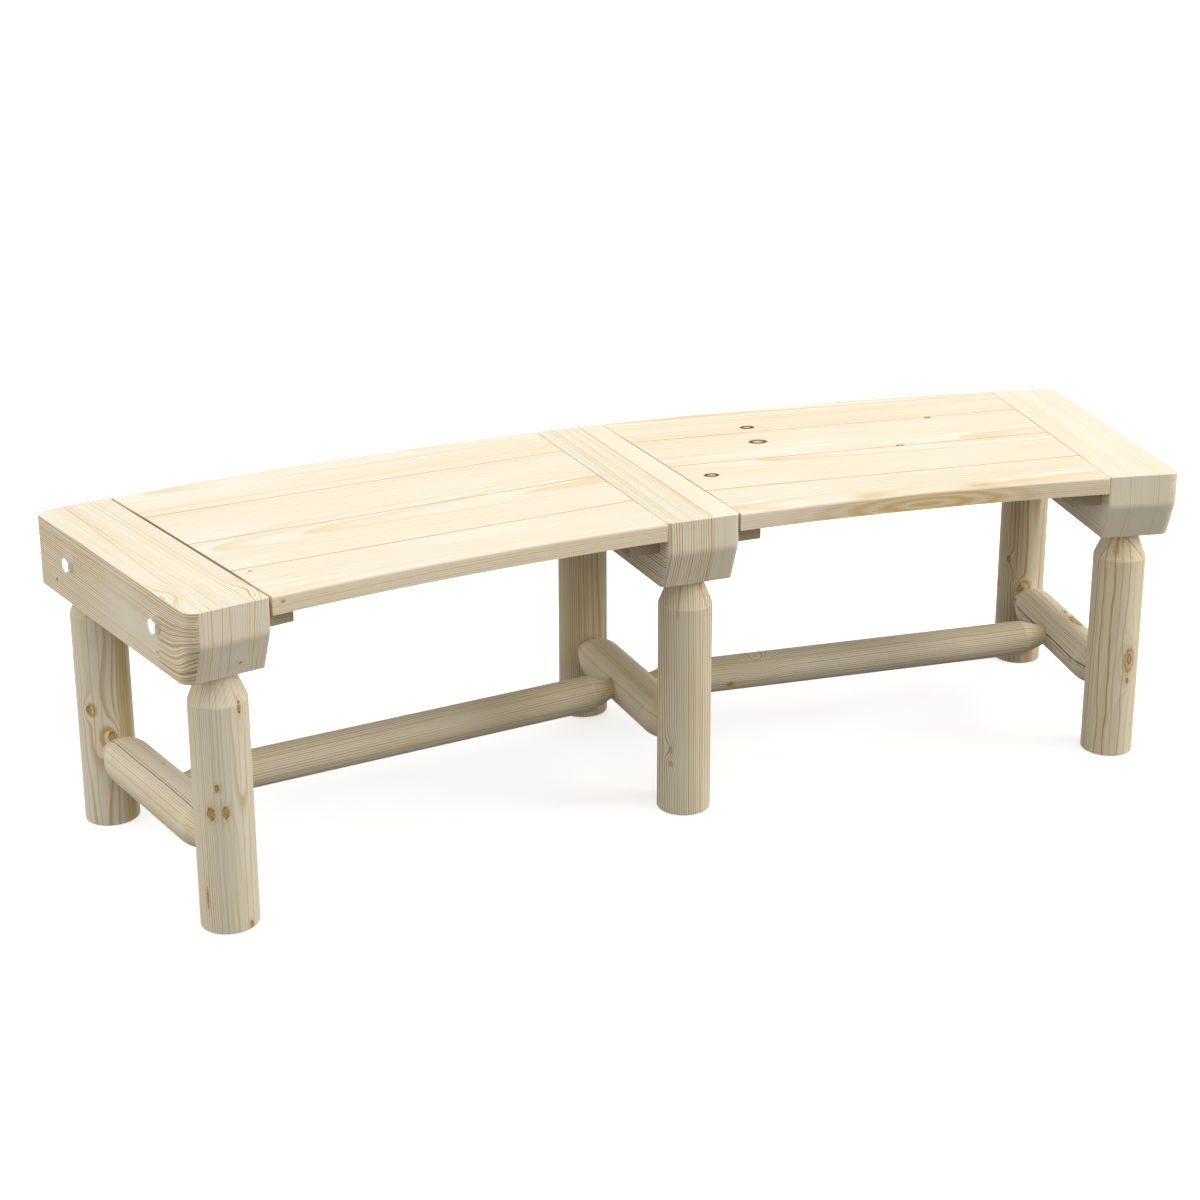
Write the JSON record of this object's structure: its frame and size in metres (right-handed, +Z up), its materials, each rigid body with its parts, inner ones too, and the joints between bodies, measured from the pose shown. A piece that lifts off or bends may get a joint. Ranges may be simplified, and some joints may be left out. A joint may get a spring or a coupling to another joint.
{
  "type": "curved log bench",
  "caption": "Rustic curved bench of bare pine: straight seat planks in two bays between squared beams, on round log legs with doweled log stretchers.",
  "frame": {"origin": "on the floor, at the bottom centre of the bounding box", "axes": "+Z up; +X along the bench, to the right for someone who faces its hollow side; the hollow side faces -Y and the outer arc +Y"},
  "size_m": [1.6504, 0.5716, 0.45],
  "materials": {
    "beam_pine": "sawn and sanded, bare",
    "seat_pine": "planed, bare",
    "cleat_pine": "sawn, bare",
    "log_pine": "turned smooth, bare",
    "zinc_plated_steel": "bright zinc plating"
  },
  "bodies": {
    "root": {"end_beam_left": "beam_pine", "centre_beam": "beam_pine", "end_beam_right": "beam_pine", "seat_board_left_front": "seat_pine", "seat_board_left_middle_front": "seat_pine", "seat_board_left_middle_back": "seat_pine", "seat_board_left_back": "seat_pine", "seat_board_right_front": "seat_pine", "seat_board_right_middle_front": "seat_pine", "seat_board_right_middle_back": "seat_pine", "seat_board_right_back": "seat_pine", "cleat_left_outer": "cleat_pine", "cleat_left_inner": "cleat_pine", "cleat_right_inner": "cleat_pine", "cleat_right_outer": "cleat_pine", "leg_left_front": "log_pine", "leg_left_back": "log_pine", "leg_centre_front": "log_pine", "leg_centre_back": "log_pine", "leg_right_front": "log_pine", "leg_right_back": "log_pine", "cross_stretcher_left": "log_pine", "cross_stretcher_centre": "log_pine", "cross_stretcher_right": "log_pine", "long_stretcher_left": "log_pine", "long_stretcher_right": "log_pine", "bolts_left": "zinc_plated_steel", "bolts_centre": "zinc_plated_steel", "bolts_right": "zinc_plated_steel", "bolt_washers": "zinc_plated_steel", "bolt_nuts": "zinc_plated_steel"}
  },
  "joints": []
}
